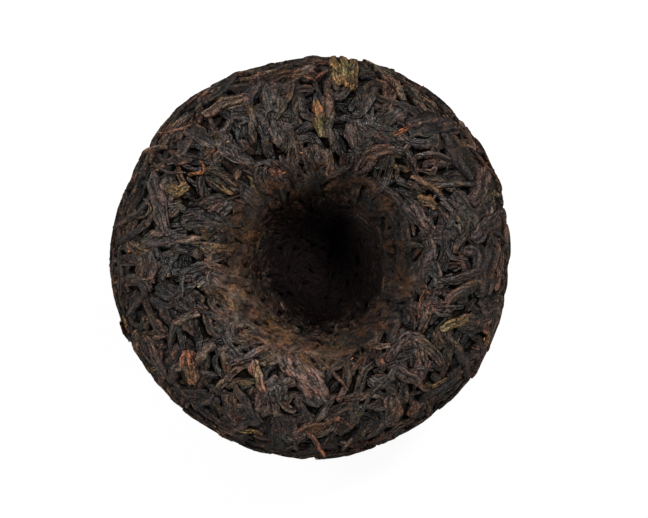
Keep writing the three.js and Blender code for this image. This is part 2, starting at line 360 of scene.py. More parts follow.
def shownLeaves():
    t = np.linspace(0, 1, strew["stations"])
    lines = []
    rows = []
    pxPerMm = focal / (camHeight - nest["height"])
    for kind, tone, wide, (ax, ay), (bx, by), (cx, cy) in shown:
        px = through(ax, bx, cx, t)
        py = through(ay, by, cy, t)
        s, angle = fromPhoto(px, py)
        angle = np.unwrap(angle)
        heading = np.arctan2(np.gradient(angle) * onProfile("r", s), np.gradient(s))
        lines.append(np.stack([s, angle, heading]))
        length = np.hypot(np.diff(px), np.diff(py)).sum() / pxPerMm
        rows.append((kindNames.index(kind), tone, wide / pxPerMm, length, sum(kinds[kind]["thick"]) / 2))
    kind, tone, width, length, thick = np.array(rows).T
    return {"kind": kind.astype(int), "tone": tone, "width": width, "length": length, "thick": thick,
            "line": np.stack(lines, 1)}


# The cells that the pile's height is kept in: rings along the half section, split round the axis
def cellRings():
    count = int(endAt / strew["cell"]) + 1
    ring = (np.arange(count) + 0.5) * strew["cell"]
    split = np.round(2 * math.pi * onProfile("r", ring) / strew["cell"])
    split = np.maximum(strew["leastCells"], split).astype(int)
    start = np.concatenate([[0], np.cumsum(split)])
    ringOf = np.repeat(np.arange(count), split)
    angle = (np.arange(start[-1]) - start[ringOf] + 0.5) / split[ringOf] * 2 * math.pi
    return {"split": split, "start": start, "s": ring[ringOf], "angle": angle, "total": start[-1]}


grid = cellRings()


def cellAt(s, angle):
    s, angle = wrapped(s, angle)
    ring = np.clip((s / strew["cell"]).astype(int), 0, len(grid["split"]) - 1)
    part = ((angle / (2 * math.pi)) % 1 * grid["split"][ring]).astype(int)
    return grid["start"][ring] + np.minimum(part, grid["split"][ring] - 1)


# Sideways steps from the middle lines, staying on the nest
def aside(s, angle, heading, offset):
    radius = np.maximum(onProfile("r", np.clip(np.abs(s), 0, endAt)), strew["axisAside"])
    return s - offset * np.sin(heading), angle + offset * np.cos(heading) / radius


# How wide a leaf is along its length: some end in points, some are broken off blunt
tips = {"blunt": (0.12, 0.3), "lean": (0.75, 0.5), "leanMix": 7.3,
        "from": 0.03, "span": 0.94, "least": 0.02}


def tipTaper(t, seed):
    blunt = tips["blunt"][0] + tips["blunt"][1] * seed
    lean = tips["lean"][0] + tips["lean"][1] * ((seed * tips["leanMix"]) % 1)
    return np.maximum(np.sin(math.pi * (tips["from"] + tips["span"] * t ** lean)), tips["least"]) ** blunt


crownAcross = (1 - np.abs(np.linspace(-1, 1, strew["across"])) ** strew["crownFlat"]) ** 0.5


# Lays leaves one on another: each rests on the pile, bends round it as far as it can, and adds to it
def layLeaves(batch, pile):
    stations = strew["stations"]
    count = len(batch["kind"])
    batch["seed"] = rng.random((count, 8))
    batch["taper"] = tipTaper(np.linspace(0, 1, stations)[None, :], batch["seed"][:, :1])
    half = batch["width"][:, None] / 2 * batch["taper"]
    offset = half[:, :, None] * np.linspace(-1, 1, strew["across"])
    s, angle, heading = batch["line"][:, :, :, None]
    batch["cells"] = cellAt(*aside(s, angle, heading, offset))
    gap = np.arange(stations)[:, None] - np.arange(stations)[None, :]
    soft = np.exp(-0.5 * (gap / strew["stiffSpan"]) ** 2)
    soft = np.linalg.matrix_power(soft / soft.sum(1, keepdims=True), strew["stiffRuns"])
    batch["tops"] = np.zeros((count, stations))
    for k in range(count):
        cells = batch["cells"][k]
        thick = batch["thick"][k]
        under = pile[cells]
        rest = soft @ (strew["hug"] * under.mean(1) + (1 - strew["hug"]) * under.max(1))
        batch["tops"][k] = rest + thick
        pile[cells] = np.maximum(under, rest[:, None] + thick * crownAcross * batch["taper"][k][:, None])


def strewLeaves():
    pile = np.zeros(grid["total"])
    area = np.cumsum(np.maximum(onProfile("r", prof["s"]), strew["axisNear"]) * np.gradient(prof["s"]))
    size = strew["batchSize"]
    stepAlong, stepRound = strew["evenSteps"]
    batches = []
    for number in range(strew["batches"]):
        if number < strew["freeBatches"]:
            steps = np.arange(1, size + 1) + number * size
            s = np.interp((steps * stepAlong) % 1 * area[-1], area, prof["s"])
            angle = 2 * math.pi * ((steps * stepRound) % 1)
            batch = drawLeaves(s, angle, "share")
        else:
            tries = rng.integers(0, grid["total"], (size, strew["tries"]))
            lowest = tries[np.arange(size), pile[tries].argmin(1)]
            batch = drawLeaves(grid["s"][lowest], grid["angle"][lowest], "fill")
        batch["line"] = walkLines(batch)
        layLeaves(batch, pile)
        batches.append(batch)
    batches.append(shownLeaves())
    layLeaves(batches[-1], pile)
    keys = ("kind", "tone", "width", "length", "thick", "seed", "taper", "cells", "tops")
    leaves = {key: np.concatenate([batch[key] for batch in batches]) for key in keys}
    leaves["line"] = np.concatenate([batch["line"] for batch in batches], 1)
    dip = leaves["thick"][:, None, None] * (1 - crownAcross * leaves["taper"][:, :, None])
    own = leaves["tops"][:, :, None] - dip
    leaves["seen"] = (own >= pile[leaves["cells"]] - strew["seenWithin"]).mean((1, 2))
    return leaves, pile


leaves, pile = strewLeaves()
shows = leaves["seen"] > strew["leastShown"]
print("leaves strewn", len(leaves["kind"]), "of which", int(shows.sum()), "show")
print("pile", round(float(np.median(pile)), 2), "mm high, uneven by", round(float(pile.std()), 2), "mm")

# The cloth presses the pile to one smooth face: what is proud is pushed in, what is deep keeps its depth.
# Its knot makes the hollow and rubs the mouth.
cloth = {
    "proudLeft": 0.35,  # how much is left of what would stand proud
    "nearLeft": 0.36, "deepLeft": 0.48,  # of the step down to the next leaf, and of a deep gap
    "deepFrom": 0.5, "deepTo": 1.8,
    "faceBands": (48, 72), "faceRounds": 3, "faceLift": 0.8, "evenRuns": 2,
    "rubWay": 3.9, "rubLeast": 0.3,  # the side of the mouth that is rubbed the most
    "rubPress": 0.35, "wellPress": 0.7,  # how much more is pressed in there, and down in the hollow
}


# How far the knot has smoothed the leaves, from 0 to 1: round the mouth, and down in the hollow
def smoothed(s, angle, mouth=1, well=1):
    side = ease(np.cos(angle - cloth["rubWay"]), -0.3, 0.6)
    share = cloth["rubLeast"] + (1 - cloth["rubLeast"]) * side
    rubbed = ease(s, crestAt + 5, mouthAt + 1) * share
    return np.maximum(mouth * rubbed, well * ease(s, mouthAt + 1, mouthAt + 7))


def press(apart):
    near = cloth["nearLeft"]
    left = near + (cloth["deepLeft"] - near) * ease(-apart, cloth["deepFrom"], cloth["deepTo"])
    return apart * np.where(apart > 0, cloth["proudLeft"], left)


def blurred(bins):
    bins = bins + np.roll(bins, 1, 1) + np.roll(bins, -1, 1)
    bins[1:-1] = bins[1:-1] + bins[:-2] + bins[2:]
    return bins


# The pile's own level, smoothed over a few mm
def pileFace():
    bandS, bandA = cloth["faceBands"]
    binS = np.minimum((grid["s"] / endAt * bandS).astype(int), bandS - 1)
    binA = np.minimum((grid["angle"] / (2 * math.pi) * bandA).astype(int), bandA - 1)
    total = np.zeros((bandS, bandA))
    count = np.zeros((bandS, bandA))
    np.add.at(total, (binS, binA), pile)
    np.add.at(count, (binS, binA), 1)
    for _ in range(cloth["faceRounds"]):
        total = blurred(total)
        count = blurred(count)
    return (total / np.maximum(count, 1))[binS, binA] + cloth["faceLift"] * pile.std()


def pressLeaves():
    pressed = press(leaves["tops"] - face[leaves["cells"][:, :, strew["across"] // 2]])
    for _ in range(cloth["evenRuns"]):
        pressed[:, 1:-1] = (pressed[:, :-2] + 2 * pressed[:, 1:-1] + pressed[:, 2:]) / 4
    s, angle = leaves["line"][:2]
    top = nest["skin"] + pressed * (1 - smoothed(s, angle, cloth["rubPress"], cloth["wellPress"]))
    top[-len(shown):] += strew["shownLift"]
    return top


face = pileFace()
leafTop = pressLeaves()
print("leaves pressed, tops", round(float(leafTop.min()), 2), "to", round(float(leafTop.max()), 2), "mm")

crinkle = {
    "sharpAngle": 38.0,
    "every": 2,  # stations from ring to ring
    "crumple": 0.022,  # mm
    "stray": 0.3, "sway": 0.15,  # how unevenly the points lie across a leaf
    "ragged": 0.12, "wander": 0.08,  # of the edges and of the whole leaf, as shares of its width
    "endSink": 0.3,
    "tilt": 0.6,  # one edge stands higher
    "tipThick": 0.5, "under": -1.15,  # the underside is in thicknesses
    "ribSpread": (0.6, 0.8), "ribDrift": 0.13, "ribFade": (0.65, 0.35),
    "mouthCalm": 0.55, "wellCalm": 0.85,  # how much flatter and thinner at the mouth and in the hollow
    "calmThin": (0.4, 0.6),
    "apart": (40, 60),  # so that no two leaves have the same grain
}
tau = 2 * math.pi


def meshFromRings(name, points):
    count, rows, ring = points.shape[:3]
    base = np.arange(count)[:, None, None] * rows * ring
    row = base + np.arange(rows - 1)[None, :, None] * ring
    col = np.arange(ring)[None, None, :]
    nextCol = (col + 1) % ring
    quads = np.stack([row + col, row + nextCol, row + ring + nextCol, row + ring + col], -1)
    faces = quads.reshape(-1, 4).tolist()
    ends = base[:, 0] + np.arange(ring)[None, :]
    faces += ends[:, ::-1].tolist()
    faces += (ends + (rows - 1) * ring).tolist()
    mesh = bpy.data.meshes.new(name)
    mesh.from_pydata((points.reshape(-1, 3) * mm).tolist(), [], faces)
    mesh.shade_smooth()
    mesh.set_sharp_from_angle(angle=math.radians(crinkle["sharpAngle"]))
    return mesh


# What the finishes read: a place in mm along a leaf, across it and apart from others, and single numbers
def addLayers(mesh, place, **numbers):
    layer = mesh.attributes.new("leafPlace", "FLOAT_VECTOR", "POINT")
    layer.data.foreach_set("vector", place.astype(np.float32).ravel())
    for name, values in numbers.items():
        layer = mesh.attributes.new(name, "FLOAT", "POINT")
        layer.data.foreach_set("value", values.astype(np.float32).ravel())


# A map for the export: every leaf has a cell of its own in a grid
def addBakeMap(mesh, count, rows, ring, margin=0.04):
    side = math.ceil(math.sqrt(count))
    k = np.arange(count)
    corner = np.stack([k % side, k // side], -1) / side
    row, col = np.meshgrid(np.arange(rows - 1), np.arange(ring), indexing="ij")
    u = np.stack([row, row, row + 1, row + 1], -1) / (rows - 1)
    v = np.stack([col, col + 1, col + 1, col], -1) / ring
    inset = margin + (1 - 2 * margin) * np.stack([u, v], -1)
    main = (corner[:, None, None, None, :] + inset[None] / side).reshape(-1, 2)
    ends = np.repeat(corner + margin / 2 / side, ring, 0)
    layer = mesh.uv_layers.new(name="OFBake")
    layer.uv.foreach_set("vector", np.concatenate([main, ends, ends]).astype(np.float32).ravel())


def addPiece(name, mesh):
    piece = bpy.data.objects.new(name, mesh)
    bpy.context.scene.collection.objects.link(piece)
    return piece


def ripple(t, turns, start):
    return np.sin(tau * (turns * t + start))


# All the leaves of one kind that show: each a closed skin of rings, flat or crowned, pleated and crumpled
def leafPiece(kind):
    look = kinds[kind]
    c = crinkle
    picks = np.nonzero((leaves["kind"] == kindNames.index(kind)) & shows)[0]
    rows = slice(0, strew["stations"], look.get("every", c["every"]))
    s, angle, heading = leaves["line"][:, picks, rows, None]
    count, steps = s.shape[:2]
    t = np.linspace(0, 1, steps)[None, :, None]
    seed = leaves["seed"][picks][:, :, None, None]
    wide = leaves["width"][picks][:, None, None]
    ring = look["over"] + 1
    gap = 2 / (look["over"] - 1)
    isOver = np.arange(ring) < look["over"]
    evenly = np.append(np.linspace(-1, 1, look["over"]), 0.0)
    inner = isOver & (np.abs(evenly) < 1)
    own = rng.random((3, count, 1, ring))
    sway = ripple(t, 0.5 + own[0], own[1])
    v = evenly + inner * gap * (c["stray"] * (own[2] - 0.5) + c["sway"] * 0.5 * sway)
    taper = tipTaper(t, seed[:, 0])
    edge = 1 + c["ragged"] * ripple(t, 1 + 2.5 * seed[:, 1], seed[:, 2])
    wander = c["wander"] * ripple(t, 1 + seed[:, 4], seed[:, 3])
    offset = wide * (0.5 * taper * edge * v + wander)
    calm = 1 - smoothed(s, angle, c["mouthCalm"], c["wellCalm"])
    thick = leaves["thick"][picks][:, None, None] * (c["tipThick"] + (1 - c["tipThick"]) * taper)
    thick = thick * (c["calmThin"][0] + c["calmThin"][1] * calm)
    crown = np.clip(1 - np.abs(evenly) ** look["flat"], 0, 1) ** 0.5
    ribs = look["ribs"] * (c["ribSpread"][0] + c["ribSpread"][1] * seed[:, 5])
    drift = seed[:, 6] + c["ribDrift"] * ripple(t, 0.4 + seed[:, 3], seed[:, 4])
    fade = c["ribFade"][0] + c["ribFade"][1] * ripple(t, 0.5 + seed[:, 2], seed[:, 1])
    fold = inner * (2 * np.abs(np.sin(math.pi * (ribs * (evenly + 1) / 2 + drift))) - 1) * fade
    tilt = c["tilt"] * (seed[:, 7] - 0.5) * evenly * isOver * calm
    body = np.where(isOver, crown - 1 + tilt, c["under"])
    lift = leafTop[picks][:, rows][:, :, None] - c["endSink"] * (1 - taper) + thick * body
    crumple = c["crumple"] * rng.normal(size=(count, steps, ring))
    lift = lift + (look["pleat"] * fold + inner * crumple) * np.sqrt(taper) * calm
    sv, av = aside(s, angle, heading, offset)
    mesh = meshFromRings(kind, nestPoint(sv, av, lift))
    length = leaves["length"][picks][:, None, None]
    spread = np.zeros_like(offset)
    apartAlong, apartDeep = c["apart"]
    along = t * length + apartAlong * seed[:, 0] + spread
    addLayers(mesh, np.stack([along, offset, apartDeep * seed[:, 1] + spread], -1),
              leafTone=leaves["tone"][picks][:, None, None] + spread,
              leafSide=np.where(isOver, evenly, 1.0) + spread,
              leafDepth=nest["skin"] - lift + spread, leafGroove=fold + spread)
    addBakeMap(mesh, count, steps, ring)
    print(kind, count, "leaves,", sum(len(f.vertices) - 2 for f in mesh.polygons), "triangles")
    return addPiece(kind, mesh)


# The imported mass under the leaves: the half section spun round, then roughened with crumbs pressed into it
core = {
    "ringStep": 1.0, "turns": 150,
    "sink": 0.75, "mouthSink": 0.5,  # below the nest's own form
    "mouthSmooth": 0.5,
    "lump": 0.4, "lumpSize": 1.6,
    "grain": 0.22, "grainSize": 0.7,
}


def corePiece():
    spots = np.linspace(0, endAt, int(endAt / core["ringStep"]))
    bm = bmesh.new()
    chain = [bm.verts.new((onProfile("r", s) * mm, 0, onProfile("z", s) * mm)) for s in spots]
    edges = [bm.edges.new(pair) for pair in zip(chain, chain[1:])]
    bmesh.ops.spin(bm, geom=chain + edges, cent=(0, 0, 0), axis=(0, 0, 1), angle=2 * math.pi,
                   steps=core["turns"], use_merge=True)
    bmesh.ops.remove_doubles(bm, verts=bm.verts, dist=1e-6)
    bmesh.ops.recalc_face_normals(bm, faces=bm.faces)
    places = np.array([v.co for v in bm.verts]) / mm
    radius = np.hypot(places[:, 0], places[:, 1])
    angle = np.arctan2(places[:, 1], places[:, 0])
    s = np.array([prof["s"][np.argmin((prof["r"] - r) ** 2 + (prof["z"] - z) ** 2)]
                  for r, z in zip(radius, places[:, 2])])
    lift = np.array([core["lump"] * noise.noise(Vector(p) / core["lumpSize"])
                     + core["grain"] * noise.noise(Vector(p) / core["grainSize"]) for p in places])
    smooth = smoothed(s, angle)
    sink = core["sink"] + (core["mouthSink"] - core["sink"]) * smooth
    moved = nestPoint(s, angle, lift * (1 - core["mouthSmooth"] * smooth) - sink)
    for v, p in zip(bm.verts, moved):
        v.co = p * mm
    mesh = bpy.data.meshes.new("packedCore")
    bm.to_mesh(mesh)
    bm.free()
    mesh.shade_smooth()
    print("core", len(mesh.polygons), "faces")
    return addPiece("packedCore", mesh)


# Crumbs and broken bits: a third where the knot rubbed, a third round the rim, the rest anywhere
crumbs = {
    "count": 3200, "rows": 3, "ring": 5,
    "length": (0.25, 1.0), "width": (0.2, 0.5), "thick": (0.15, 0.35), "smallMore": 2,
    "mouthShare": 0.35, "mouthMiddle": -4,  # mm along the half section, from the mouth
    "rimShare": 0.35, "rimMiddle": 4,  # from the widest place
    "spread": 5, "tip": 0.35, "jag": (0.75, 0.5), "apart": 60,
}


def crumbPiece():
    c = crumbs
    count, rows, ring = (c[key] for key in ("count", "rows", "ring"))
    chance = rng.random(count)
    nearMouth = chance < c["mouthShare"]
    nearRim = chance > 1 - c["rimShare"]
    area = np.cumsum(onProfile("r", prof["s"]) * np.gradient(prof["s"]))
    anywhere = np.interp(rng.random(count) * area[-1], area, prof["s"])
    atMouth = mouthAt + c["mouthMiddle"] + c["spread"] * rng.normal(size=count)
    atRim = widestAt + c["rimMiddle"] + c["spread"] * rng.normal(size=count)
    s = np.where(nearRim, atRim, np.where(nearMouth, atMouth, anywhere))
    s = np.clip(s, 4, endAt - 1)
    angle = tau * rng.random(count)
    heading = tau * rng.random(count)
    size = {}
    for key in ("length", "width", "thick"):
        low, high = c[key]
        size[key] = low + (high - low) * rng.random(count) ** c["smallMore"]
    here = cellAt(s, angle)
    lift = nest["skin"] + press(pile[here] - face[here])
    t = np.linspace(0, 1, rows)
    turn = np.linspace(0, tau, ring, endpoint=False)
    taper = c["tip"] + (1 - c["tip"]) * np.sin(math.pi * t)
    jag = c["jag"][0] + c["jag"][1] * rng.random((count, rows, ring))
    offset = size["width"][:, None, None] / 2 * taper[:, None] * np.cos(turn) * jag
    up = size["thick"][:, None, None] * taper[:, None] * np.sin(turn) * jag * 0.5
    forward = ((t - 0.5) * size["length"][:, None])[:, :, None]
    radius = np.maximum(onProfile("r", s), strew["axisAside"])[:, None, None]
    head = heading[:, None, None]
    sv = s[:, None, None] + forward * np.cos(head) - offset * np.sin(head)
    av = angle[:, None, None] + (forward * np.sin(head) + offset * np.cos(head)) / radius
    mesh = meshFromRings("crumb", nestPoint(sv, av, lift[:, None, None] + up))
    tone = rng.random(count)
    place = rng.random((count, 3)) * c["apart"]
    plain = np.zeros(count * rows * ring)
    addLayers(mesh, np.repeat(place, rows * ring, 0), leafTone=np.repeat(tone, rows * ring),
              leafSide=plain, leafDepth=nest["skin"] - lift[:, None, None] - up, leafGroove=plain)
    addBakeMap(mesh, count, rows, ring)
    print("crumbs", count)
    return addPiece("crumb", mesh)


# Shader maths as plain expressions
class Value:
    def __init__(self, maker, socket):
        self.maker = maker
        self.socket = socket

    def sums(self, operation, *parts):
        return self.maker.node("ShaderNodeMath", {"operation": operation}, dict(enumerate(parts)))

    def __add__(self, other):
        return self.sums("ADD", self, other)

    def __sub__(self, other):
        return self.sums("SUBTRACT", self, other)

    def __rsub__(self, other):
        return self.sums("SUBTRACT", other, self)

    def __mul__(self, other):
        return self.sums("MULTIPLY", self, other)

    def __truediv__(self, other):
        return self.sums("DIVIDE", self, other)

    def __pow__(self, other):
        return self.sums("POWER", self, other)

    def __abs__(self):
        return self.sums("ABSOLUTE", self)

    __radd__ = __add__
    __rmul__ = __mul__

    def atLeast(self, low):
        return self.sums("MAXIMUM", self, low)

    def clipped(self, low=0.0, high=1.0):
        return self.sums("MINIMUM", self.atLeast(low), high)

    def over(self, start, gain):  # from 0 where a noise passes the start, up to 1
        return ((self - start) * gain).clipped()

    def under(self, start, gain):
        return ((start - self) * gain).clipped()

    def swing(self, size):  # a noise about its middle
        return (self - 0.5) * size


class Finish:
    def __init__(self, name):
        self.material = bpy.data.materials.new(name)
        self.material.use_nodes = True
        self.tree = self.material.node_tree
        self.shader = self.tree.nodes["Principled BSDF"]

    def node(self, kind, settings=None, sockets=None, output=0):
        made = self.tree.nodes.new(kind)
        for key, value in (settings or {}).items():
            if key == "stops":
                self.setStops(made.color_ramp, value)
            else:
                setattr(made, key, value)
        for key, value in (sockets or {}).items():
            self.feed(made.inputs[key], value)
        return Value(self, made.outputs[output])

    def setStops(self, ramp, stops):
        while len(ramp.elements) < len(stops):
            ramp.elements.new(0.5)
        for element, (at, rgb) in zip(ramp.elements, stops):
            element.position = at
            element.color = tint(*rgb)

    def feed(self, socket, value):
        if isinstance(value, Value):
            self.tree.links.new(value.socket, socket)
        else:
            socket.default_value = value

    def surface(self, matte=None, **sockets):  # matte is where the sheen gives way to a dry surface
        for key, value in sockets.items():
            self.feed(self.shader.inputs[key], value)
        if matte is not None:
            sheeny = Value(self, self.shader.outputs[0])
            dry = self.node("ShaderNodeBsdfPrincipled", {}, {**sockets, "Specular IOR Level": 0.0})
            both = self.node("ShaderNodeMixShader", {}, {0: matte, 1: sheeny, 2: dry})
            self.feed(self.tree.nodes["Material Output"].inputs["Surface"], both)

    def attribute(self, name, output="Fac"):
        return self.node("ShaderNodeAttribute", {"attribute_name": name}, output=output)

    def placeInMm(self):
        spot = self.node("ShaderNodeTexCoord", output="Object")
        return self.stretched(spot, (1 / mm, 1 / mm, 1 / mm))

    def grain(self, place, scale, detail=3.0, rough=0.55):
        return self.node("ShaderNodeTexNoise", {"noise_dimensions": "3D"},
                         {"Vector": place, "Scale": scale, "Detail": detail, "Roughness": rough})

    def vectors(self, operation, *parts, output=0):
        return self.node("ShaderNodeVectorMath", {"operation": operation}, dict(enumerate(parts)), output)

    def stretched(self, place, factors):
        return self.vectors("MULTIPLY", place, factors)

    def along(self, place, way):
        return self.vectors("DOT_PRODUCT", place, (*way, 0), output="Value")

    def towards(self, place, way, reach, start):
        return (self.along(place, way) / reach + start).clipped()

    def howFar(self, place):
        return self.vectors("LENGTH", place, output="Value")

    def step(self, value, low, high, kind="SMOOTHSTEP"):
        return self.node("ShaderNodeMapRange", {"interpolation_type": kind},
                         {"Value": value, "From Min": low, "From Max": high})

    def ramp(self, place, stops):
        return self.node("ShaderNodeValToRGB", {"stops": stops}, {"Fac": place})

    def between(self, share, low, high):
        return self.node("ShaderNodeMix", {"data_type": "RGBA"},
                         {"Factor": share, 6: low, 7: high}, output=2)

    def tinted(self, colour, share, by):
        return self.node("ShaderNodeMix", {"data_type": "RGBA", "blend_type": "MULTIPLY"},
                         {"Factor": share, 6: colour, 7: by}, output=2)

    def shade(self, colour, amount):
        grey = self.node("ShaderNodeCombineColor", {}, {"Red": amount, "Green": amount, "Blue": amount})
        return self.tinted(colour, 1.0, grey)


# A screen colour as the renderer's own
def tint(red, green, blue):
    def linear(c):
        c = c / 255
        return c / 12.92 if c <= 0.04045 else ((c + 0.055) / 1.055) ** 2.4
    return (linear(red), linear(green), linear(blue), 1.0)


# Finishes: the colours that a kind of leaf runs through from dull to bright, as seen in the photograph
finishes = {
    "darkStrip": {"colours": [(0.0, (25, 20, 17)), (0.45, (39, 33, 29)), (0.8, (53, 46, 41)),
                              (1.0, (69, 55, 45))], "rough": 0.30, "sheen": 0.34},
    "brownStrip": {"colours": [(0.0, (36, 29, 25)), (0.4, (56, 45, 37)), (0.75, (76, 61, 50)),
                               (1.0, (93, 74, 58))], "rough": 0.38, "sheen": 0.24},
    "wiryTwist": {"colours": [(0.0, (22, 19, 16)), (0.5, (37, 32, 28)), (1.0, (63, 50, 41))],
                  "rough": 0.28, "sheen": 0.42},
    "curledLeaf": {"colours": [(0.0, (28, 23, 19)), (0.5, (48, 40, 33)), (1.0, (76, 59, 48))],
                   "rough": 0.34, "sheen": 0.31},
    "broadLeaf": {"colours": [(0.0, (31, 27, 26)), (0.4, (50, 44, 40)), (0.75, (74, 60, 52)),
                              (1.0, (102, 69, 51))], "rough": 0.34, "sheen": 0.26},
    "goldTip": {"colours": [(0.0, (60, 47, 35)), (0.4, (79, 62, 43)), (0.75, (99, 80, 51)),
                            (1.0, (118, 74, 46))], "rough": 0.46, "sheen": 0.22},
    "stalk": {"colours": [(0.0, (39, 33, 31)), (0.5, (63, 49, 41)), (1.0, (97, 64, 47))],
              "rough": 0.36, "sheen": 0.3},
    "flake": {"colours": [(0.0, (28, 22, 19)), (0.5, (48, 38, 31)), (0.85, (74, 55, 43)),
                          (1.0, (102, 70, 45))], "rough": 0.40, "sheen": 0.24},
    "crumb": {"colours": [(0.0, (33, 27, 24)), (0.5, (57, 43, 33)), (0.85, (82, 59, 41)),
                          (1.0, (156, 107, 66))], "rough": 0.6, "sheen": 0.18},
}
# Round the mouth the leaves are rubbed to one mottled skin with gold and rust in it; down in the hollow is
# painted shade, and the lip and the rim have painted shade and light.
# Places and heights in mm, sides as ways across the nest.
mouthLook = {
    "ring": (22.0, 16.4), "strays": 10,  # from the axis of the hollow, where it starts and where it is full
    "ringHigh": (30.0, 36.0),
    "skin": [(0.36, (25, 19, 16)), (0.5, (66, 52, 43)), (0.64, (104, 83, 69))],
    "skinShare": (0.15, 0.8),  # away from the gold and on its side
    "skinSpeck": 4.4, "skinRange": (0.1, 3.0),
    "skinDetail": (0.25, 0.85),  # how much the leaves' own wear and painted shade show in it
    "gold": (124, 87, 46), "goldShare": 0.9,
    "goldWay": ((-0.75, -0.66), 22, 0.15),  # side, how far off it is full, and what it has at the axis
    "rust": (124, 78, 43), "rustShare": 0.8,
    "rustAway": 0.9,  # how much less of it there is on the gold's side
    # Painted shade down in the hollow: mottled dark colours with a ragged, blurred edge, lighter towards one
    # side
    "hollowShade": [(0.35, (23, 19, 20)), (0.65, (32, 25, 25))], "hollowShadeShare": 0.95,
    "hollowShadeSide": (0.05, 1.0), "hollowShadeFade": 0.072,  # towards here the painted shade is lighter
    "hollowShadeLevel": 1.08, "hollowShadeRange": (0.25, 2.0),
    "hollowShadeEdge": 12.7, "hollowShadeStrays": (6, 9),
    "hollowShadeBlur": (2.0, 4.5), "blurWay": ((0.93, 0.37), 9, 0),  # on the near and the far side
    "hollowShadeLean": (0.13, 0.0),  # its edge lies further out on this side
    "hollowShadeHigh": (36.0, 28.0),
    "farWay": ((0.93, 0.37), 8, 0.4), "farShade": 0.48,  # in the lip's own shade
    # Painted light: the lip on the side that faces the main lamp is made paler
    "paleWay": ((-0.71, -0.71), 9, -1), "paleRing": (27.0, 19.4), "pale": 1.0,
    "rim": (30.0, 40.5), "rimPaintedLight": 0.2,  # from the axis of the nest; painted light: the outer rim is made lighter
    "ringDull": 0.4, "rimDull": 0.9, "rimMatte": 0.8,
}
# Stains on the leaves: rusty and slate patches within a leaf, rust and gold over several, casts over more
leafStain = {
    "blotch": 0.7,
    "rust": (106, 71, 45), "rustMost": 0.32,
    "slate": (38, 37, 38), "slateMost": 0.5,
    "gold": (112, 87, 50), "stainLeast": 0.35, "stainMost": 0.6,
    "warmCast": (1.33, 0.91, 0.74, 1), "coolCast": (0.75, 1.05, 1.2, 1), "castMost": 0.95,
    "oliveCast": (0.95, 1.04, 0.80, 1), "maroonCast": (1.06, 0.95, 0.98, 1), "hueMost": 0.9,
    "overall": (0.93, 0.885, 0.905, 1),
}
# Wear on the leaves: lines along them, grit, powder, and the relief of these; with painted shade at the
# leaves' edges, in their folds and in deep gaps, and painted highlights on the ridges
leafWearShadeAndHighlight = {
    "wrinkleSharp": 24, "wrinkleLeft": 0.5,  # how much colour is left in it
    "crackSharp": 9, "crackLeft": 0.75,
    "level": 0.95, "lines": 0.7, "groove": 0.2, "ridge": 0.25, "grit": 1.6, "powder": 2.0,
    "edgeShade": 0.82, "depthShade": 0.66, "depthShadeLevel": 1.08,
    "least": 0.02, "contrast": 2.35, "detailMost": 1.3,
    "wrinkleBump": 0.08, "streakBump": 0.4, "fibreBump": 0.3, "gritBump": 0.06,
    "ringCalm": 0.3, "ringBump": 0.5, "bumpHigh": 0.0024,
    "roughLift": 0.04, "roughGroove": 0.08, "roughFibre": 0.3, "roughDull": 0.5,
}


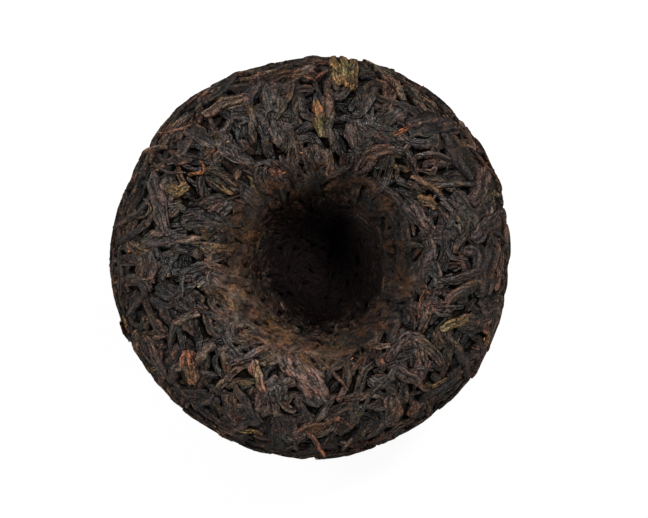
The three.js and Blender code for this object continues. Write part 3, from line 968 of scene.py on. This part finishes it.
# The mouth's skin, gold and rust over a leaf's own colour, with painted shade in the hollow and on the lip's
# far side and painted light on its near side and on the rim, and how dull and matte they leave it
def mouthWearShadeAndLight(f, inMm, speck, colour, detail=1.0):
    m = mouthLook
    flat = f.stretched(f.vectors("SUBTRACT", inMm, (*nest["hollowOffset"], 0)), (1, 1, 0))
    fromAxis = f.howFar(flat)
    high = f.node("ShaderNodeSeparateXYZ", {}, {0: inMm}, output="Z")
    wobble = f.grain(inMm, scale=0.22, detail=2.0)
    mottle = f.grain(inMm, scale=0.5, detail=4.0, rough=0.65)
    spots = f.grain(f.stretched(inMm, (1, -1, 1)), scale=0.3, detail=2.0)
    ring = f.step(fromAxis + wobble.swing(m["strays"]), *m["ring"]) * f.step(high, *m["ringHigh"])
    skin = f.ramp(mottle, m["skin"])
    skin = f.tinted(skin, wobble.over(0.52, 9), leafStain["warmCast"])
    skin = f.tinted(skin, wobble.under(0.48, 9), leafStain["coolCast"])
    plain, shows = m["skinDetail"]
    specked = (speck.swing(m["skinSpeck"]) + 1).clipped(*m["skinRange"])
    skin = f.shade(skin, specked * (plain + detail * shows))
    goldWay = f.towards(flat, *m["goldWay"])
    least, most = m["skinShare"]
    colour = f.between(ring * (least + goldWay * (most - least)), colour, skin)
    gold = ring * spots.over(0.52, 8) * speck.over(0.42, 6)
    rust = ring * spots.under(0.5, 8) * speck.over(0.4, 5)
    colour = f.between(rust * (1 - goldWay * m["rustAway"]) * m["rustShare"], colour, tint(*m["rust"]))
    colour = f.between(gold * goldWay * m["goldShare"], colour, tint(*m["gold"]))
    bySpeck, byWobble = m["hollowShadeStrays"]
    ragged = speck.swing(bySpeck) + wobble.swing(byWobble) - f.along(flat, m["hollowShadeLean"])
    near, far = m["hollowShadeBlur"]
    blur = near + f.towards(flat, *m["blurWay"]) * (far - near)
    # Painted shade: the hollow is coloured dark, lighter towards one side
    within = f.step(fromAxis + ragged, m["hollowShadeEdge"] + blur, m["hollowShadeEdge"] - blur)
    within = within * f.step(high, *m["hollowShadeHigh"])
    fade = (m["hollowShadeLevel"] + f.along(flat, m["hollowShadeSide"]) * m["hollowShadeFade"]).clipped(*m["hollowShadeRange"])
    colour = f.between(within * m["hollowShadeShare"], colour, f.shade(f.ramp(mottle, m["hollowShade"]), fade))
    rim = f.step(f.howFar(f.stretched(inMm, (1, 1, 0))), *m["rim"], "LINEAR")
    # Painted shade on the lip's far side, painted light on the outer rim
    shaded = (1 - ring * f.towards(flat, *m["farWay"]) * m["farShade"]) * (1 + rim * m["rimPaintedLight"])
    # Painted light on the lip's near side
    paintedLightLip = f.step(fromAxis, *m["paleRing"]) * f.towards(flat, *m["paleWay"])
    shaded = shaded * (1 + paintedLightLip * m["pale"])
    return {"colour": f.shade(colour, shaded), "ring": ring,
            "dull": (ring * m["ringDull"] + within + rim * m["rimDull"]).clipped(),
            "matte": (within + rim * m["rimMatte"]).clipped()}


def leafColour(f, stops, place, inMm, speck):
    st = leafStain
    blotch = f.grain(place, scale=0.55, detail=2.0)
    patch = f.grain(f.stretched(place, (1.0, 1.0, 1.7)), scale=0.8)
    stain = f.grain(inMm, scale=0.33, detail=4.0, rough=0.65)
    cast = f.grain(inMm, scale=0.2, detail=4.0, rough=0.6)
    hue = f.grain(f.stretched(inMm, (1.0, 1.0, -1.0)), scale=0.2, detail=2.0)
    base = f.ramp((f.attribute("leafTone") + blotch.swing(st["blotch"])).clipped(), stops)
    base = f.between(patch.over(0.56, 6) * st["rustMost"], base, tint(*st["rust"]))
    base = f.between(patch.under(0.44, 5) * st["slateMost"], base, tint(*st["slate"]))
    stained = f.between(hue.over(0.46, 8), tint(*st["rust"]), tint(*st["gold"]))
    specked = st["stainLeast"] + speck.over(0.4, 4) * (1 - st["stainLeast"])
    base = f.between(stain.over(0.58, 9) * specked * st["stainMost"], base, stained)
    base = f.tinted(base, cast.over(0.53, 7) * st["castMost"], st["warmCast"])
    base = f.tinted(base, cast.under(0.47, 7) * st["castMost"], st["coolCast"])
    base = f.tinted(base, hue.over(0.52, 7) * st["hueMost"], st["oliveCast"])
    base = f.tinted(base, hue.under(0.48, 7) * st["hueMost"], st["maroonCast"])
    return f.tinted(base, 1.0, st["overall"])


def leafFinish(kind):
    look = finishes[kind]
    w = leafWearShadeAndHighlight
    f = Finish(kind + "Finish")
    place = f.attribute("leafPlace", "Vector")
    side = abs(f.attribute("leafSide"))
    groove = f.attribute("leafGroove")
    deep = f.attribute("leafDepth")
    inMm = f.placeInMm()
    speck = f.grain(inMm, scale=1.4, detail=5.0, rough=0.72)
    powder = f.grain(inMm, scale=2.4, detail=2.0, rough=0.7)
    streak = f.grain(f.stretched(place, (0.22, 0.8, 1.0)), scale=1.0, detail=1.5, rough=0.5)
    fibre = f.grain(f.stretched(place, (0.6, 1.2, 1.0)), scale=1.0, detail=1.5, rough=0.5)
    grit = f.grain(f.stretched(place, (1.6, 1.9, 1.0)), scale=2.0, detail=2.0, rough=0.6)
    wrinkle = (abs(streak - 0.5) * w["wrinkleSharp"]).clipped()
    crack = (abs(fibre - 0.5) * w["crackSharp"]).clipped()
    wearShadeAndHighlight = (w["wrinkleLeft"] + wrinkle * (1 - w["wrinkleLeft"])) * w["level"]
    wearShadeAndHighlight = wearShadeAndHighlight * (w["crackLeft"] + crack * (1 - w["crackLeft"]))
    wearShadeAndHighlight = wearShadeAndHighlight + streak.swing(w["lines"]) + fibre.swing(w["lines"])
    # Painted shade in the folds, painted highlight on the ribs' ridges
    wearShadeAndHighlight = wearShadeAndHighlight + groove * w["groove"] + groove.clipped() * w["ridge"]
    wearShadeAndHighlight = wearShadeAndHighlight + grit.swing(w["grit"]) + powder.swing(w["powder"])
    # Painted shade: darker towards each leaf's edges, where the leaves meet
    wearShadeAndHighlight = wearShadeAndHighlight * (1 - side.over(0.78, 4.6) * w["edgeShade"])
    # Painted shade: leaves lying deeper than the pressed face are darker, the top ones a little lighter
    wearShadeAndHighlight = wearShadeAndHighlight * (w["depthShadeLevel"] - deep.over(0.15, 1.5) * w["depthShade"])
    base = leafColour(f, look["colours"], place, inMm, speck)
    colour = f.shade(base, wearShadeAndHighlight.atLeast(w["least"]) ** w["contrast"])
    mouth = mouthWearShadeAndLight(f, inMm, speck, colour, wearShadeAndHighlight.clipped(0.0, w["detailMost"]))
    bumps = wrinkle * w["wrinkleBump"] + grit * w["gritBump"]
    bumps = bumps + streak.swing(w["streakBump"]) + fibre.swing(w["fibreBump"])
    bumps = bumps * (1 - mouth["ring"] * w["ringCalm"]) + speck * mouth["ring"] * w["ringBump"]
    relief = f.node("ShaderNodeBump", {}, {"Strength": 1.0, "Distance": w["bumpHigh"], "Height": bumps})
    rough = look["rough"] + w["roughLift"] - groove * w["roughGroove"] + fibre.swing(w["roughFibre"])
    rough = (rough + mouth["dull"] * w["roughDull"]).clipped()
    f.surface(mouth["matte"], **{"Base Color": mouth["colour"], "Roughness": rough, "Normal": relief,
                                 "Specular IOR Level": look["sheen"]})
    return f.material


# The mass shows only in the gaps between the leaves: its own dark colour, made darker still as painted shade
# in those gaps
coreLook = {
    "colours": [(0.25, (16, 13, 12)), (0.5, (27, 22, 19)), (0.75, (46, 36, 30))],
    "fineShare": 0.4, "bumpHigh": 0.0008, "rough": 0.8, "sheen": 0.1,
}


def coreFinish():
    look = coreLook
    f = Finish("packedCoreFinish")
    inMm = f.placeInMm()
    coarse = f.grain(inMm, scale=0.45, detail=4.0, rough=0.6)
    fine = f.grain(inMm, scale=2.2, rough=0.65)
    base = f.ramp(coarse * (1 - look["fineShare"]) + fine * look["fineShare"], look["colours"])
    mouth = mouthWearShadeAndLight(f, inMm, fine, base)
    relief = f.node("ShaderNodeBump", {}, {"Strength": 1.0, "Distance": look["bumpHigh"],
                                           "Height": coarse + fine})
    f.surface(mouth["matte"], **{"Base Color": mouth["colour"], "Roughness": look["rough"],
                                 "Normal": relief, "Specular IOR Level": look["sheen"]})
    return f.material


def wear(piece, material):
    piece.data.materials.append(material)
    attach(piece, "root")


corePart = corePiece()
wear(corePart, coreFinish())
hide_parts(cadNode)
for kind in kindNames:
    wear(leafPiece(kind), leafFinish(kind))
wear(crumbPiece(), leafFinish("crumb"))

# A pale, faintly lit table and four soft lamps round it; overhead, where the camera looks in, it is dim
studio = {
    "floorSize": 4.0, "floorColour": (0.12, 0.12, 0.12, 1),
    "floorRough": 0.6, "floorSheen": 0.2, "floorGlow": 0.92,
    "room": 0.2,
    "lamps": [(1.0, 0.95, 5.8), (2.8, 0.75, 3.0), (3.9, 0.55, 1.3), (5.7, 0.8, 0.3)],  # way, rise, power
    "lampFar": 0.85, "lampSize": 0.24, "aimHeight": 0.03,
}
white = (1, 1, 1, 1)


def setTable():
    bm = bmesh.new()
    bmesh.ops.create_grid(bm, x_segments=1, y_segments=1, size=studio["floorSize"] / 2)
    mesh = bpy.data.meshes.new("tableTop")
    bm.to_mesh(mesh)
    bm.free()
    f = Finish("tableFinish")
    f.surface(**{"Base Color": studio["floorColour"], "Roughness": studio["floorRough"],
                 "Specular IOR Level": studio["floorSheen"], "Emission Color": white,
                 "Emission Strength": studio["floorGlow"]})
    mesh.materials.append(f.material)
    floor = addPiece("tableTop", mesh)


def setLights():
    world = bpy.data.worlds.new("studioRoom")
    world.use_nodes = True
    backdrop = world.node_tree.nodes["Background"]
    backdrop.inputs["Color"].default_value = white
    backdrop.inputs["Strength"].default_value = studio["room"]
    bpy.context.scene.world = world
    aim = Vector((0, 0, studio["aimHeight"]))
    for number, (way, rise, power) in enumerate(studio["lamps"]):
        data = bpy.data.lights.new(f"softLamp{number + 1}", "AREA")
        data.size = studio["lampSize"]
        data.energy = power
        lamp = addPiece(f"softLamp{number + 1}", data)
        level = math.cos(rise)
        toLamp = Vector((level * math.cos(way), level * math.sin(way), math.sin(rise)))
        lamp.location = aim + toLamp * studio["lampFar"]
        lamp.rotation_mode = "QUATERNION"
        lamp.rotation_quaternion = (-toLamp).to_track_quat("-Z", "Y")
    bpy.context.scene.view_settings.view_transform = "Standard"


setTable()
setLights()
print("studio set")
